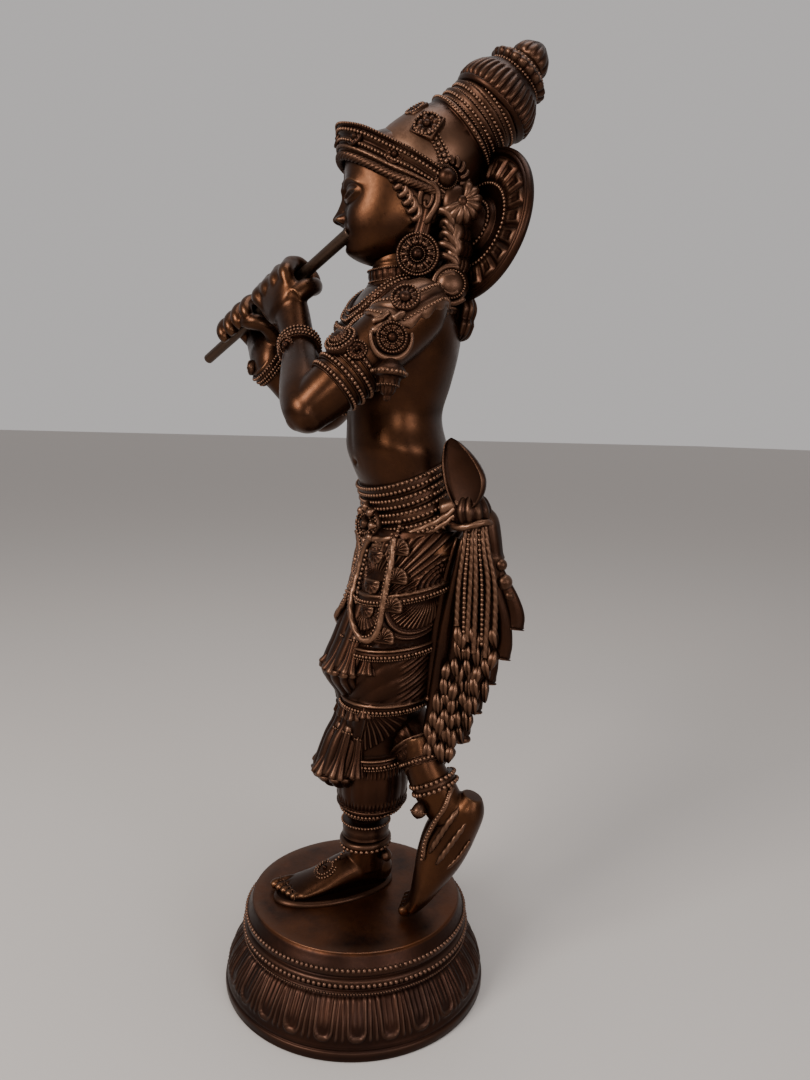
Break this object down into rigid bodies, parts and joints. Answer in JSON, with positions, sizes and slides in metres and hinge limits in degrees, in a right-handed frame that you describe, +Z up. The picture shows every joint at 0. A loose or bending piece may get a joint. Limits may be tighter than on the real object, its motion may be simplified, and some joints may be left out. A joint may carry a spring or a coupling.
{
  "type": "cast bronze krishna figure",
  "caption": "Standing flute player in cast bronze with a tall crown, a wheel behind the head and crossed ankles, on a round fluted plinth.",
  "frame": {"origin": "middle of the plinth's flat underside", "axes": "+Z up, the figure's trunk faces -Y, its left is +X"},
  "size_m": [0.1898, 0.1565, 0.5041],
  "materials": {
    "figure_bronze": "dark brown patina, rubbed to copper on the high points",
    "plinth_bronze": "reddish brown patina, darker in the flutes",
    "flute_bronze": "greyish brown patina, satin"
  },
  "bodies": {
    "root": {"plinth": "plinth_bronze", "figure": "figure_bronze", "flute": "flute_bronze"}
  },
  "joints": []
}
